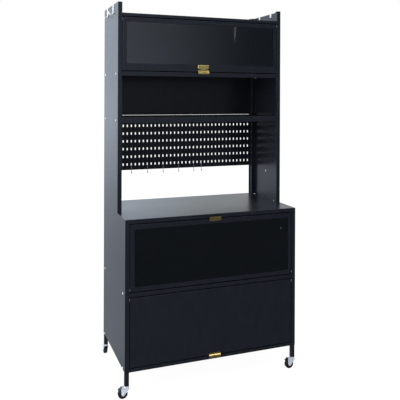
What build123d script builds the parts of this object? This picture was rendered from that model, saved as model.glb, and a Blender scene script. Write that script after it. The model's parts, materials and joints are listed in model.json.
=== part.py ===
from build123d import *
import os

os.makedirs("parts", exist_ok=True)

# Kitchen cabinet of folded black sheet steel on four casters, in millimetres.
# +Z is up, the doors face -Y, and the origin is on the floor under the middle of the box.

# Overall sizes
width = 800.0
depth = 450.0
hutch_depth = 300.0
worktop_height = 738.0
hutch_height = 926.0
sheet = 1.0
bend = 1.5
drill_length = 5.0

# Legs and body
leg_length = 56.0
post_size = 18.0
post_wall = 1.2
post_corner = 2.0
fascia_height = 17.5
mid_rail_height = 16.0
bottom_rail_height = 13.0
shelf_clearance = 0.2
cable_hole = 7.0
base_hole_inset = 137.0
base_hole_drop = 123.0

# Hutch
rim_rise = 47.0
top_lip = 14.0
top_side_lip = 20.0
upper_shelf_lip = 19.0
lower_shelf_lip = 25.0
open_height = 184.0
return_depth = 16.0
back_flange = 25.0
back_panel_gap = 1.2
back_panel_inset = 5.0
hutch_hole_rise = 135.0

# Pegboard and its hooks
peg_height = 245.0
peg_overlap = 14.0
slot_margin = 20.0
slot_pitch_x = 20.4
slot_pitch_z = 38.1
slot_width = 7.0
slot_height = 13.5
slot_corner = 2.2
hook_steps = (-13, -9, -5, -1, 3, 5)
hook_wire = 3.0
wire_sides = 8
hook_bend = 4.0
hook_drop = 40.0
hook_curl = 9.0
hook_tip = 8.0
hook_rise = 9.0

# Flat hooks hung over the side panels
strip = 2.0
strip_width = 16.0
strip_inner_leg = 18.0
strip_drop = 45.0
strip_tip = 3.0
strip_reach = 22.0
strip_places = (100.0, 222.0)

# Doors
door_gap = 4.0
door_side_gap = 2.5
door_thickness = 14.0
upper_door_height = 280.0
hutch_door_height = 236.0
stile = 18.0
rail = 20.0
hutch_grip_rail = 32.0
door_hem = 12.0
pane_thickness = 3.0
pane_overlap = 8.0
seal_wall = 1.0
seal_setback = 1.0
clip_length = 16.0
clip_leg = 6.0
clip_grip = 5.0
clip_places = (-240.0, 0.0, 240.0)
stiffener_width = 50.0
stiffener_depth = 9.0
stiffener_flange = 12.0

# Door pivots
pivot_edge = 8.0
pin_diameter = 6.0
pin_head = 10.0
pin_head_height = 2.0
pin_play = 0.05
bush_diameter = 9.0
bush_length = 6.0
bush_flange = 12.0
bush_flange_height = 1.0

# Pulls and magnetic catches
pull_width = 54.0
pull_strip = 1.6
pull_foot = 9.0
pull_step = 5.5
pull_overhang = 10.0
cup_width = 53.0
cup_height = 21.0
cup_depth = 4.0
cup_lift = 10.0
cup_wall = 1.2
cup_bow = 7.0
magnet_length = 42.0
magnet_depth = 14.0
magnet_cover = 16.0
magnet_air = 0.3
magnet_place = 250.0

# Casters
caster_height = 50.0
wheel_radius = 20.0
wheel_width = 16.0
wheel_shoulder = 2.0
hub_radius = 6.5
web_recess = 3.0
tread_depth = 6.0
trail = 16.0
axle_diameter = 6.0
axle_head = 9.0
axle_head_height = 1.5
fork_wall = 2.0
fork_gap = 1.0
fork_crown = 2.5
fork_drop = 4.5
fork_nose = 9.5
fork_boss = 7.0
running = 0.08
stem_diameter = 8.0
stem_length = 26.0
stem_collar = 20.0
stem_collar_height = 4.2
stem_rivet = 11.0
stem_rivet_height = 1.4
race_gap = 0.3
plug_flange = 2.0
plug_length = 30.0
plug_play = 0.1
brake_offset = 6.0
brake_pin = 3.0
brake_ear = 3.2
brake_hub = 2.4
brake_wall = 2.0
brake_reach = 12.5
brake_fall = 6.0

# Screws
screw_diameter = 5.0
screw_play = 0.15
screw_head = 9.0
screw_head_height = 2.4
screw_length = 9.0
screw_taper = 20.0
nut_radius = 5.5
nut_height = 4.0
foot_screw_inset = 40.0
back_screw_inset = 20.0
shelf_screw_inset = 36.0
sides = {"left": -1, "right": 1}
ends = {"front": -1, "rear": 1}

# Levels and planes worked out from the sizes
half = width / 2
rim_width = sheet + post_size
opening = half - rim_width
post_centre_x = half - sheet - post_size / 2
rear_overhang = trail + wheel_radius - 2 * sheet - post_size / 2
front_reach = pull_step + pull_strip
y_front = -(depth + rear_overhang - front_reach) / 2
y_back = y_front + depth
frame_back = y_back - sheet
flange_front = frame_back - sheet
hutch_front = y_back - hutch_depth
post_centre_y = {"front": y_front + sheet + post_size / 2, "rear": flange_front - post_size / 2}
post_bottom = caster_height + plug_flange
body_bottom = caster_height + leg_length
floor_top = body_bottom + bottom_rail_height
upper_door_top = worktop_height - fascia_height - door_gap
upper_door_bottom = upper_door_top - upper_door_height
mid_shelf_top = upper_door_bottom - door_gap
lower_door_top = mid_shelf_top - mid_rail_height - door_gap
lower_door_bottom = floor_top + door_gap
lower_door_height = lower_door_top - lower_door_bottom
peak = worktop_height + hutch_height
top_level = peak - rim_rise
hutch_door_top = top_level - top_lip - door_gap
hutch_door_bottom = hutch_door_top - hutch_door_height
upper_shelf_top = hutch_door_bottom - door_gap
lower_shelf_top = upper_shelf_top - upper_shelf_lip - open_height
peg_top = lower_shelf_top - lower_shelf_lip
peg_bottom = peg_top - peg_height
door_half = opening - door_side_gap
pivot_inset = door_thickness / 2
back_half = half - back_panel_inset
back_panel_top = top_level - sheet
slot_columns = 2 * int((back_half - slot_margin) // slot_pitch_x) + 1
slot_rows = int((peg_height - 2 * slot_margin) // slot_pitch_z) + 1
base_back_top = worktop_height - sheet

# Each door: its front plane, bottom, height, pivot height and which edge is free
doors = {
    "hutch_door": (hutch_front, hutch_door_bottom, hutch_door_height, hutch_door_top - pivot_edge, -1),
    "upper_door": (y_front, upper_door_bottom, upper_door_height, upper_door_bottom + pivot_edge, 1),
    "lower_door": (y_front, lower_door_bottom, lower_door_height, lower_door_top - pivot_edge, -1),
}

# Screws in the back panels and the hutch feet
base_back_screws = (
    body_bottom + back_screw_inset,
    (body_bottom + base_back_top) / 2,
    base_back_top - back_screw_inset,
)
hutch_back_screws = (
    peg_bottom + back_screw_inset,
    peg_top - back_screw_inset,
    lower_shelf_top + back_panel_gap + back_screw_inset,
    back_panel_top - back_screw_inset,
)
foot_screws = (hutch_front + foot_screw_inset, flange_front - foot_screw_inset)
screw_hole = screw_diameter / 2 + screw_play

# Screws through the sides into the end folds of the shelves
base_shelf_levels = (floor_top - bottom_rail_height / 2, mid_shelf_top - mid_rail_height / 2)
hutch_shelf_levels = (upper_shelf_top - upper_shelf_lip / 2, lower_shelf_top - lower_shelf_lip / 2)
base_screw_rows = (y_front + shelf_screw_inset, frame_back - shelf_screw_inset)
hutch_screw_rows = (hutch_front + shelf_screw_inset, flange_front - shelf_screw_inset)
base_shelf_screws = [(y, z) for y in base_screw_rows for z in base_shelf_levels]
hutch_shelf_screws = [(y, z) for y in hutch_screw_rows for z in hutch_shelf_levels]


# Base sides: a web with its front, back and top edges folded inwards
for side, sign in sides.items():
    with BuildPart() as base_side:
        with BuildSketch(Plane.XY.offset(body_bottom)):
            with Locations((sign * (half - rim_width / 2), (y_front + frame_back) / 2)):
                Rectangle(rim_width, frame_back - y_front)
        extrude(amount=worktop_height - body_bottom)
        web = base_side.faces().sort_by(Axis.X, reverse=sign > 0)[0]
        fillet(web.edges().sort_by(Axis.Z)[1:], radius=bend)
        with BuildSketch(Plane.XY.offset(body_bottom)):
            with Locations((sign * (half - sheet - rim_width / 2), (y_front + frame_back) / 2)):
                Rectangle(rim_width, frame_back - y_front - 2 * sheet)
        extrude(amount=worktop_height - body_bottom - sheet, mode=Mode.SUBTRACT)
        with Locations(*[(sign * post_centre_x, y, worktop_height) for y in foot_screws]):
            Cylinder(screw_hole, drill_length, mode=Mode.SUBTRACT)
        with Locations(*[(sign * post_centre_x, frame_back, z) for z in base_back_screws]):
            Cylinder(screw_hole, drill_length, rotation=(90, 0, 0), mode=Mode.SUBTRACT)
        with Locations(*[(sign * half, y, z) for y, z in base_shelf_screws]):
            Cylinder(screw_hole, drill_length, rotation=(0, 90, 0), mode=Mode.SUBTRACT)
        if side == "right":
            with Locations((half, y_front + base_hole_inset, worktop_height - base_hole_drop)):
                Cylinder(cable_hole / 2, drill_length, rotation=(0, 90, 0), mode=Mode.SUBTRACT)
    base_side.part.label = f"base_side_{side}"
    export_step(base_side.part, f"parts/base_side_{side}.step")


# Posts: square tubes in the corners of the base sides, whose lower ends are the legs
for end, sign_y in ends.items():
    for side, sign in sides.items():
        centre = (sign * post_centre_x, post_centre_y[end])
        with BuildPart() as post:
            with BuildSketch(Plane.XY.offset(post_bottom)):
                with Locations(centre):
                    RectangleRounded(post_size, post_size, post_corner)
                    RectangleRounded(
                        post_size - 2 * post_wall,
                        post_size - 2 * post_wall,
                        post_corner - post_wall,
                        mode=Mode.SUBTRACT,
                    )
            extrude(amount=worktop_height - sheet - post_bottom)
            if end == "front":
                pivots = [doors[name][3] for name in ("upper_door", "lower_door")]
                with Locations(*[(sign * opening, y_front + pivot_inset, z) for z in pivots]):
                    Cylinder(
                        bush_diameter / 2 + pin_play,
                        drill_length,
                        rotation=(0, 90, 0),
                        mode=Mode.SUBTRACT,
                    )
            else:
                with Locations(*[(centre[0], flange_front, z) for z in base_back_screws]):
                    Cylinder(screw_hole, drill_length, rotation=(90, 0, 0), mode=Mode.SUBTRACT)
        post.part.label = f"post_{end}_{side}"
        export_step(post.part, f"parts/post_{end}_{side}.step")


# Worktop: a tray turned upside down between the rims, whose front fold is the fascia
with BuildPart() as worktop:
    with BuildSketch(Plane.XY.offset(worktop_height - fascia_height)):
        with Locations((0, (y_front + frame_back) / 2)):
            Rectangle(2 * opening, frame_back - y_front)
    extrude(amount=fascia_height)
    fillet(worktop.faces().sort_by(Axis.Z)[-1].edges(), radius=bend)
    with BuildSketch(Plane.XY.offset(worktop_height - fascia_height)):
        with Locations((0, (y_front + frame_back) / 2)):
            Rectangle(2 * (opening - sheet), frame_back - y_front - 2 * sheet)
    extrude(amount=fascia_height - sheet, mode=Mode.SUBTRACT)
worktop.part.label = "worktop"
export_step(worktop.part, "parts/worktop.step")


# Shelves: notched plates with every edge folded down, the front fold showing as a lip
shelf_corner = sheet + post_size + shelf_clearance
shelves = {
    "base_floor": (y_front, frame_back, floor_top, bottom_rail_height, shelf_corner, shelf_corner),
    "base_mid_shelf": (y_front, frame_back, mid_shelf_top, mid_rail_height, shelf_corner, shelf_corner),
    "hutch_upper_shelf": (hutch_front, flange_front, upper_shelf_top, upper_shelf_lip, return_depth, 0),
    "hutch_lower_shelf": (hutch_front, flange_front, lower_shelf_top, lower_shelf_lip, return_depth, 0),
}
for name, (front, back, top, lip, front_notch, rear_notch) in shelves.items():
    with BuildPart() as shelf:
        with BuildSketch(Plane.XY.offset(top - lip)) as outline:
            with Locations((0, (front + back) / 2)):
                Rectangle(2 * (half - sheet), back - front)
            for sign in sides.values():
                for edge, notch in ((front, front_notch), (back, rear_notch)):
                    if notch:
                        with Locations((sign * half, edge)):
                            Rectangle(
                                2 * (rim_width + shelf_clearance),
                                2 * (notch + shelf_clearance),
                                mode=Mode.SUBTRACT,
                            )
        extrude(amount=lip)
        with BuildSketch(Plane.XY.offset(top - lip)):
            add(outline.sketch_local)
            offset(amount=-sheet, kind=Kind.INTERSECTION, mode=Mode.REPLACE)
        extrude(amount=lip - sheet, mode=Mode.SUBTRACT)
        front_edge = shelf.faces().sort_by(Axis.Z)[-1].edges().filter_by(Axis.X).sort_by(Axis.Y)[0]
        fillet(front_edge, radius=bend)
        for y in (front + shelf_screw_inset, back - shelf_screw_inset):
            with Locations(*[(s * half, y, top - lip / 2) for s in sides.values()]):
                Cylinder(screw_hole, drill_length, rotation=(0, 90, 0), mode=Mode.SUBTRACT)
    shelf.part.label = name
    export_step(shelf.part, f"parts/{name}.step")


# Base back panel, fixed behind the folded edges of the base sides
with BuildPart() as base_back_panel:
    with BuildSketch(Plane.XZ.offset(-y_back)):
        with Locations((0, (body_bottom + base_back_top) / 2)):
            Rectangle(2 * back_half, base_back_top - body_bottom)
        with Locations(*[(s * post_centre_x, z) for s in sides.values() for z in base_back_screws]):
            Circle(screw_hole, mode=Mode.SUBTRACT)
    extrude(amount=sheet)
base_back_panel.part.label = "base_back_panel"
export_step(base_back_panel.part, "parts/base_back_panel.step")


# Hutch sides: folded channels standing on the rims, taller than the hutch top
for side, sign in sides.items():
    with BuildPart() as hutch_side:
        with BuildSketch(Plane.XY.offset(worktop_height)):
            with Locations((sign * (half - sheet / 2), (hutch_front + frame_back) / 2)):
                Rectangle(sheet, frame_back - hutch_front)
            with Locations((sign * (half - rim_width / 2), hutch_front + sheet / 2)):
                Rectangle(rim_width, sheet)
            with Locations((sign * (opening + sheet / 2), hutch_front + return_depth / 2)):
                Rectangle(sheet, return_depth)
            with Locations((sign * (half - back_flange / 2), frame_back - sheet / 2)):
                Rectangle(back_flange, sheet)
        extrude(amount=hutch_height)
        front_folds = hutch_side.faces().sort_by(Axis.Y)[0].edges().filter_by(Axis.Z)
        outer_rear = hutch_side.faces().sort_by(Axis.Y)[-1].edges().filter_by(Axis.Z)
        fillet(front_folds + outer_rear.sort_by(Axis.X, reverse=sign > 0)[:1], radius=bend / 2)
        with BuildSketch(Plane.XY.offset(worktop_height)):
            with Locations((sign * (half - rim_width / 2 - sheet / 4), (hutch_front + frame_back) / 2)):
                Rectangle(rim_width - sheet / 2, frame_back - hutch_front - sheet)
            with Locations(*[(sign * post_centre_x, y) for y in foot_screws]):
                Circle(screw_hole, mode=Mode.SUBTRACT)
        extrude(amount=sheet)
        with Locations((sign * opening, hutch_front + pivot_inset, doors["hutch_door"][3])):
            Cylinder(bush_diameter / 2 + pin_play, drill_length, rotation=(0, 90, 0), mode=Mode.SUBTRACT)
        with Locations(*[(sign * post_centre_x, frame_back, z) for z in hutch_back_screws]):
            Cylinder(screw_hole, drill_length, rotation=(90, 0, 0), mode=Mode.SUBTRACT)
        with Locations(*[(sign * half, y, z) for y, z in hutch_shelf_screws]):
            Cylinder(screw_hole, drill_length, rotation=(0, 90, 0), mode=Mode.SUBTRACT)
        if side == "right":
            with Locations((half, (hutch_front + frame_back) / 2, worktop_height + hutch_hole_rise)):
                Cylinder(cable_hole / 2, drill_length, rotation=(0, 90, 0), mode=Mode.SUBTRACT)
    hutch_side.part.label = f"hutch_side_{side}"
    export_step(hutch_side.part, f"parts/hutch_side_{side}.step")


# Hutch top: a plate with its front and rear folded down and its ends folded up
with BuildPart() as hutch_top:
    with BuildSketch(Plane.XY.offset(top_level - top_lip)):
        with Locations((0, (hutch_front + flange_front) / 2)):
            Rectangle(2 * (half - sheet), flange_front - hutch_front)
        for sign in sides.values():
            with Locations((sign * half, hutch_front)):
                Rectangle(
                    2 * (rim_width + shelf_clearance),
                    2 * (return_depth + shelf_clearance),
                    mode=Mode.SUBTRACT,
                )
    extrude(amount=top_lip)
    front_edge = hutch_top.faces().sort_by(Axis.Z)[-1].edges().filter_by(Axis.X).sort_by(Axis.Y)[0]
    fillet(front_edge, radius=bend)
    with BuildSketch(Plane.XY.offset(top_level - top_lip)):
        with Locations((0, (hutch_front + flange_front) / 2)):
            Rectangle(width, flange_front - hutch_front - 2 * sheet)
    extrude(amount=top_lip - sheet, mode=Mode.SUBTRACT)
    lip_front = hutch_front + return_depth + shelf_clearance
    with BuildSketch(Plane.XY.offset(top_level - sheet)):
        with Locations(*[(s * (half - 1.5 * sheet), (lip_front + flange_front) / 2) for s in sides.values()]):
            Rectangle(sheet, flange_front - lip_front)
    extrude(amount=top_side_lip)
hutch_top.part.label = "hutch_top"
export_step(hutch_top.part, "parts/hutch_top.step")


# Hutch back panel, behind the door compartment and the open one
with BuildPart() as hutch_back_panel:
    low = lower_shelf_top + back_panel_gap
    with BuildSketch(Plane.XZ.offset(-y_back)):
        with Locations((0, (low + back_panel_top) / 2)):
            Rectangle(2 * back_half, back_panel_top - low)
        with Locations(*[(s * post_centre_x, z) for s in sides.values() for z in hutch_back_screws[2:]]):
            Circle(screw_hole, mode=Mode.SUBTRACT)
    extrude(amount=sheet)
hutch_back_panel.part.label = "hutch_back_panel"
export_step(hutch_back_panel.part, "parts/hutch_back_panel.step")


# Pegboard: as many upright slots as fit in a sheet below the lower shelf
slot_centre_z = (peg_top + peg_bottom) / 2
bottom_row = slot_centre_z - slot_pitch_z * (slot_rows - 1) / 2
with BuildPart() as pegboard:
    with BuildSketch(Plane.XZ.offset(-y_back)):
        with Locations((0, (peg_bottom + peg_top + peg_overlap) / 2)):
            Rectangle(2 * back_half, peg_height + peg_overlap)
        with Locations((0, slot_centre_z)):
            with GridLocations(slot_pitch_x, slot_pitch_z, slot_columns, slot_rows):
                with BuildLine(mode=Mode.PRIVATE) as slot:
                    Polyline(
                        (slot_width / 2, slot_height / 2 - slot_corner),
                        (slot_width / 2 - slot_corner, slot_height / 2),
                        (slot_corner - slot_width / 2, slot_height / 2),
                        (-slot_width / 2, slot_height / 2 - slot_corner),
                        (-slot_width / 2, slot_corner - slot_height / 2),
                        (slot_corner - slot_width / 2, -slot_height / 2),
                        (slot_width / 2 - slot_corner, -slot_height / 2),
                        (slot_width / 2, slot_corner - slot_height / 2),
                        close=True,
                    )
                add(make_face(slot.line, mode=Mode.PRIVATE), mode=Mode.SUBTRACT)
        with Locations(*[(s * post_centre_x, z) for s in sides.values() for z in hutch_back_screws[:2]]):
            Circle(screw_hole, mode=Mode.SUBTRACT)
    extrude(amount=sheet)
pegboard.part.label = "pegboard"
export_step(pegboard.part, "parts/pegboard.step")


# Pegboard hooks: bent wire resting in slots of the bottom row, placed in slots from the middle
wire_level = bottom_row - slot_height / 2 + hook_wire / 2
hook_back = y_back + hook_bend
hook_face = frame_back - hook_bend
with BuildPart() as one_hook:
    with BuildLine(Plane.YZ) as wire:
        FilletPolyline(
            (hook_back, wire_level + hook_rise),
            (hook_back, wire_level),
            (hook_face, wire_level),
            (hook_face, wire_level - hook_drop),
            (hook_face - hook_curl, wire_level - hook_drop),
            (hook_face - hook_curl, wire_level - hook_drop + hook_tip),
            radius=hook_bend,
        )
    with BuildSketch(Plane.XY.offset(wire_level + hook_rise)):
        with Locations((0, hook_back)):
            RegularPolygon(hook_wire / 2, wire_sides)
    sweep(path=wire.line)
with BuildPart() as pegboard_hooks:
    with Locations(*[(step * slot_pitch_x, 0, 0) for step in hook_steps]):
        add(one_hook.part)
pegboard_hooks.part.label = "pegboard_hooks"
export_step(pegboard_hooks.part, "parts/pegboard_hooks.step")


# Side hooks: flat strips bent over the top edges of the hutch sides
strip_radius = strip_reach / 2
strip_turn = peak - strip_drop + strip_radius
with BuildPart() as side_hooks:
    for sign in sides.values():
        for place in strip_places:
            with BuildSketch(Plane.XZ.offset(-(hutch_front + place))):
                with BuildLine():
                    Polyline(
                        (sign * (half - sheet), peak - strip_inner_leg),
                        (sign * (half - sheet), peak),
                        (sign * half, peak),
                        (sign * half, strip_turn),
                    )
                    ThreePointArc(
                        (sign * half, strip_turn),
                        (sign * (half + strip_radius), strip_turn - strip_radius),
                        (sign * (half + strip_reach), strip_turn),
                    )
                    Line(
                        (sign * (half + strip_reach), strip_turn),
                        (sign * (half + strip_reach), strip_turn + strip_tip),
                    )
                    offset(amount=strip, side=Side.LEFT if sign > 0 else Side.RIGHT)
                make_face()
            extrude(amount=strip_width / 2, both=True)
side_hooks.part.label = "side_hooks"
export_step(side_hooks.part, "parts/side_hooks.step")


# Screws through the hutch feet, the back panels and the sides, and clinch nuts under the rims
back_screw_levels = base_back_screws + hutch_back_screws
with BuildPart() as assembly_screws:
    for sign in sides.values():
        for y in foot_screws:
            with BuildSketch(Plane.XY.offset(worktop_height + sheet)):
                with Locations((sign * post_centre_x, y)):
                    Circle(screw_head / 2)
            extrude(amount=screw_head_height, taper=screw_taper)
            with BuildSketch(Plane.XY.offset(worktop_height + sheet)):
                with Locations((sign * post_centre_x, y)):
                    Circle(screw_diameter / 2)
            extrude(amount=-screw_length)
        for z in back_screw_levels:
            with BuildSketch(Plane.XZ.offset(-y_back)):
                with Locations((sign * post_centre_x, z)):
                    Circle(screw_head / 2)
            extrude(amount=-screw_head_height, taper=screw_taper)
            with BuildSketch(Plane.XZ.offset(-y_back)):
                with Locations((sign * post_centre_x, z)):
                    Circle(screw_diameter / 2)
            extrude(amount=screw_length)
        for y, z in base_shelf_screws + hutch_shelf_screws:
            with BuildSketch(Plane.YZ.offset(sign * half)):
                with Locations((y, z)):
                    Circle(screw_head / 2)
            extrude(amount=sign * screw_head_height, taper=screw_taper)
            with BuildSketch(Plane.YZ.offset(sign * half)):
                with Locations((y, z)):
                    Circle(screw_diameter / 2)
            extrude(amount=-sign * screw_length)
assembly_screws.part.label = "assembly_screws"
export_step(assembly_screws.part, "parts/assembly_screws.step")

with BuildPart() as clinch_nuts:
    with BuildSketch(Plane.XY.offset(worktop_height - sheet)):
        with Locations(*[(sign * post_centre_x, y) for sign in sides.values() for y in foot_screws]):
            RegularPolygon(nut_radius, 6)
            Circle(screw_hole, mode=Mode.SUBTRACT)
    extrude(amount=-nut_height)
clinch_nuts.part.label = "clinch_nuts"
export_step(clinch_nuts.part, "parts/clinch_nuts.step")


# Magnetic catches, each on the shelf or worktop next to a door's free edge
catches = (
    (hutch_front, upper_shelf_top, hutch_door_bottom + magnet_cover),
    (y_front, upper_door_top - magnet_cover, worktop_height - sheet),
    (y_front, floor_top, lower_door_bottom + magnet_cover),
)
with BuildPart() as door_magnets:
    for front, low, high in catches:
        with BuildSketch(Plane.XY.offset(low)):
            with Locations((0, front + door_thickness + magnet_air + magnet_depth / 2)):
                with Locations((-magnet_place, 0), (magnet_place, 0)):
                    Rectangle(magnet_length, magnet_depth)
        extrude(amount=high - low)
door_magnets.part.label = "door_magnets"
export_step(door_magnets.part, "parts/door_magnets.step")


# Pivot bushes in the posts and the hutch sides
with BuildPart() as pivot_bushes:
    for front, low, height, pivot, free in doors.values():
        for sign in sides.values():
            axis_point = (front + pivot_inset, pivot)
            with BuildSketch(Plane.YZ.offset(sign * opening)):
                with Locations(axis_point):
                    Circle(bush_diameter / 2)
            extrude(amount=sign * bush_length)
            with BuildSketch(Plane.YZ.offset(sign * opening)):
                with Locations(axis_point):
                    Circle(bush_flange / 2)
            extrude(amount=-sign * bush_flange_height)
            with BuildSketch(Plane.YZ.offset(sign * (opening - bush_flange_height))):
                with Locations(axis_point):
                    Circle(pin_diameter / 2 + pin_play)
            extrude(amount=sign * (bush_length + bush_flange_height), mode=Mode.SUBTRACT)
pivot_bushes.part.label = "pivot_bushes"
export_step(pivot_bushes.part, "parts/pivot_bushes.step")


# Doors: folded trays, two of them with a window, a pane, its seal and clips
for name, (front, low, height, pivot, free) in doors.items():
    high = low + height
    glazed = name != "lower_door"
    free_edge = high if free > 0 else low
    low_rail = hutch_grip_rail if name == "hutch_door" else rail
    window_low = low + low_rail
    window_high = high - rail
    window_half = door_half - stile
    window_middle = (window_low + window_high) / 2
    window_height = window_high - window_low
    hem_middle = free_edge - free * (sheet + (door_hem - sheet) / 2)
    with BuildPart() as door_tray:
        with BuildSketch(Plane.XZ.offset(-front)):
            with Locations((0, (low + high) / 2)):
                Rectangle(2 * door_half, height)
        extrude(amount=-door_thickness)
        fillet(door_tray.faces().sort_by(Axis.Y)[0].edges(), radius=bend)
        with BuildSketch(Plane.XZ.offset(-front - sheet)):
            with Locations((0, (low + high) / 2)):
                Rectangle(2 * (door_half - sheet), height - 2 * sheet)
        extrude(amount=sheet - door_thickness, mode=Mode.SUBTRACT)
        with BuildSketch(Plane.XZ.offset(-front - door_thickness)):
            with Locations((0, hem_middle)):
                Rectangle(2 * (door_half - sheet), door_hem - sheet)
        extrude(amount=sheet)
        if glazed:
            with BuildSketch(Plane.XZ.offset(-front)):
                with Locations((0, window_middle)):
                    Rectangle(2 * window_half, window_height)
            extrude(amount=-sheet, mode=Mode.SUBTRACT)
        with BuildSketch(Plane.YZ):
            with Locations((front + pivot_inset, pivot)):
                Circle(pin_diameter / 2 + pin_play)
        extrude(amount=door_half, both=True, mode=Mode.SUBTRACT)
    tray_name = f"{name}_frame" if glazed else f"{name}_panel"
    door_tray.part.label = tray_name
    export_step(door_tray.part, f"parts/{tray_name}.step")

    with BuildPart() as door_pivots:
        for sign in sides.values():
            with BuildSketch(Plane.YZ.offset(sign * (door_half - sheet))):
                with Locations((front + pivot_inset, pivot)):
                    Circle(pin_diameter / 2)
            extrude(amount=sign * (sheet + door_side_gap + bush_length))
            with BuildSketch(Plane.YZ.offset(sign * (door_half - sheet))):
                with Locations((front + pivot_inset, pivot)):
                    Circle(pin_head / 2)
            extrude(amount=-sign * pin_head_height)
    door_pivots.part.label = f"{name}_pivots"
    export_step(door_pivots.part, f"parts/{name}_pivots.step")

    with BuildPart() as door_pull:
        with BuildSketch(Plane.YZ):
            with BuildLine():
                Polyline(
                    (front, free_edge - free * pull_foot),
                    (front, free_edge - free * bend),
                    (front - pull_step, free_edge + free * bend),
                    (front - pull_step, free_edge + free * pull_overhang),
                )
                offset(amount=pull_strip, side=Side.LEFT if free > 0 else Side.RIGHT)
            make_face()
        extrude(amount=pull_width / 2, both=True)
    door_pull.part.label = f"{name}_pull"
    export_step(door_pull.part, f"parts/{name}_pull.step")

    if glazed:
        pane_half = window_half + pane_overlap
        pane_height = window_height + 2 * pane_overlap
        pane_front = front + sheet + seal_wall
        seal_rear = pane_front + pane_thickness + seal_wall
        with BuildPart() as door_pane:
            with BuildSketch(Plane.XZ.offset(-pane_front)):
                with Locations((0, window_middle)):
                    Rectangle(2 * pane_half, pane_height)
            extrude(amount=-pane_thickness)
        door_pane.part.label = f"{name}_pane"
        export_step(door_pane.part, f"parts/{name}_pane.step")

        with BuildPart() as door_seal:
            with BuildSketch(Plane.XZ.offset(-front - sheet)):
                with Locations((0, window_middle)):
                    Rectangle(2 * (pane_half + seal_wall), pane_height + 2 * seal_wall)
                    Rectangle(
                        2 * (window_half + seal_setback),
                        window_height + 2 * seal_setback,
                        mode=Mode.SUBTRACT,
                    )
            extrude(amount=front + sheet - seal_rear)
            with BuildSketch(Plane.XZ.offset(-pane_front)):
                with Locations((0, window_middle)):
                    Rectangle(2 * pane_half, pane_height)
            extrude(amount=-pane_thickness, mode=Mode.SUBTRACT)
        door_seal.part.label = f"{name}_seal"
        export_step(door_seal.part, f"parts/{name}_seal.step")

        with BuildPart() as door_clips:
            for up in (-1, 1):
                seal_edge = window_middle + up * (pane_height / 2 + seal_wall)
                for place in clip_places:
                    with BuildSketch(Plane.YZ.offset(place)):
                        with BuildLine():
                            Polyline(
                                (front + sheet, seal_edge + up * clip_leg),
                                (front + sheet, seal_edge),
                                (seal_rear, seal_edge),
                                (seal_rear, seal_edge - up * clip_grip),
                            )
                            offset(amount=sheet, side=Side.LEFT if up > 0 else Side.RIGHT)
                        make_face()
                    extrude(amount=clip_length / 2, both=True)
        door_clips.part.label = f"{name}_clips"
        export_step(door_clips.part, f"parts/{name}_clips.step")
    else:
        middle = (low + high) / 2
        with BuildPart() as door_stiffener:
            with BuildSketch(Plane.YZ):
                with BuildLine():
                    Polyline(
                        (front + sheet, middle + stiffener_width / 2 + stiffener_flange),
                        (front + sheet, middle + stiffener_width / 2),
                        (front + stiffener_depth, middle + stiffener_width / 2),
                        (front + stiffener_depth, middle - stiffener_width / 2),
                        (front + sheet, middle - stiffener_width / 2),
                        (front + sheet, middle - stiffener_width / 2 - stiffener_flange),
                    )
                    offset(amount=sheet, side=Side.LEFT)
                make_face()
            extrude(amount=door_half - stile, both=True)
        door_stiffener.part.label = f"{name}_stiffener"
        export_step(door_stiffener.part, f"parts/{name}_stiffener.step")


# Finger cup on the grip rail of the hutch door, open downwards, its lower edge bowed
cup_low = hutch_door_bottom + cup_lift
cup_high = cup_low + cup_height
with BuildPart() as hutch_door_cup:
    with BuildSketch(Plane.XZ.offset(-hutch_front)):
        with BuildLine():
            Polyline(
                (-cup_width / 2, cup_low + cup_bow),
                (-cup_width / 2, cup_high),
                (cup_width / 2, cup_high),
                (cup_width / 2, cup_low + cup_bow),
            )
            ThreePointArc(
                (cup_width / 2, cup_low + cup_bow),
                (0, cup_low),
                (-cup_width / 2, cup_low + cup_bow),
            )
        make_face()
    extrude(amount=cup_depth)
    fillet(hutch_door_cup.faces().sort_by(Axis.Y)[0].edges().sort_by(Axis.Z)[-3:], radius=bend)
    with BuildSketch(Plane.XZ.offset(-hutch_front)):
        with Locations((0, cup_high - cup_wall - cup_height / 2)):
            Rectangle(cup_width - 2 * cup_wall, cup_height)
    extrude(amount=cup_depth - cup_wall, mode=Mode.SUBTRACT)
hutch_door_cup.part.label = "hutch_door_cup"
export_step(hutch_door_cup.part, "parts/hutch_door_cup.step")


# Caster pieces, drawn once with the stem on the Z axis and the wheel trailing towards +X
arm_inner = wheel_width / 2 + fork_gap
arm_outer = arm_inner + fork_wall
crown_top = caster_height - stem_collar_height - race_gap
crown_bottom = crown_top - fork_crown
brake_x = trail + brake_offset
brake_z = crown_top - brake_ear
crown_end = brake_x - brake_hub - fork_gap

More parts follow.
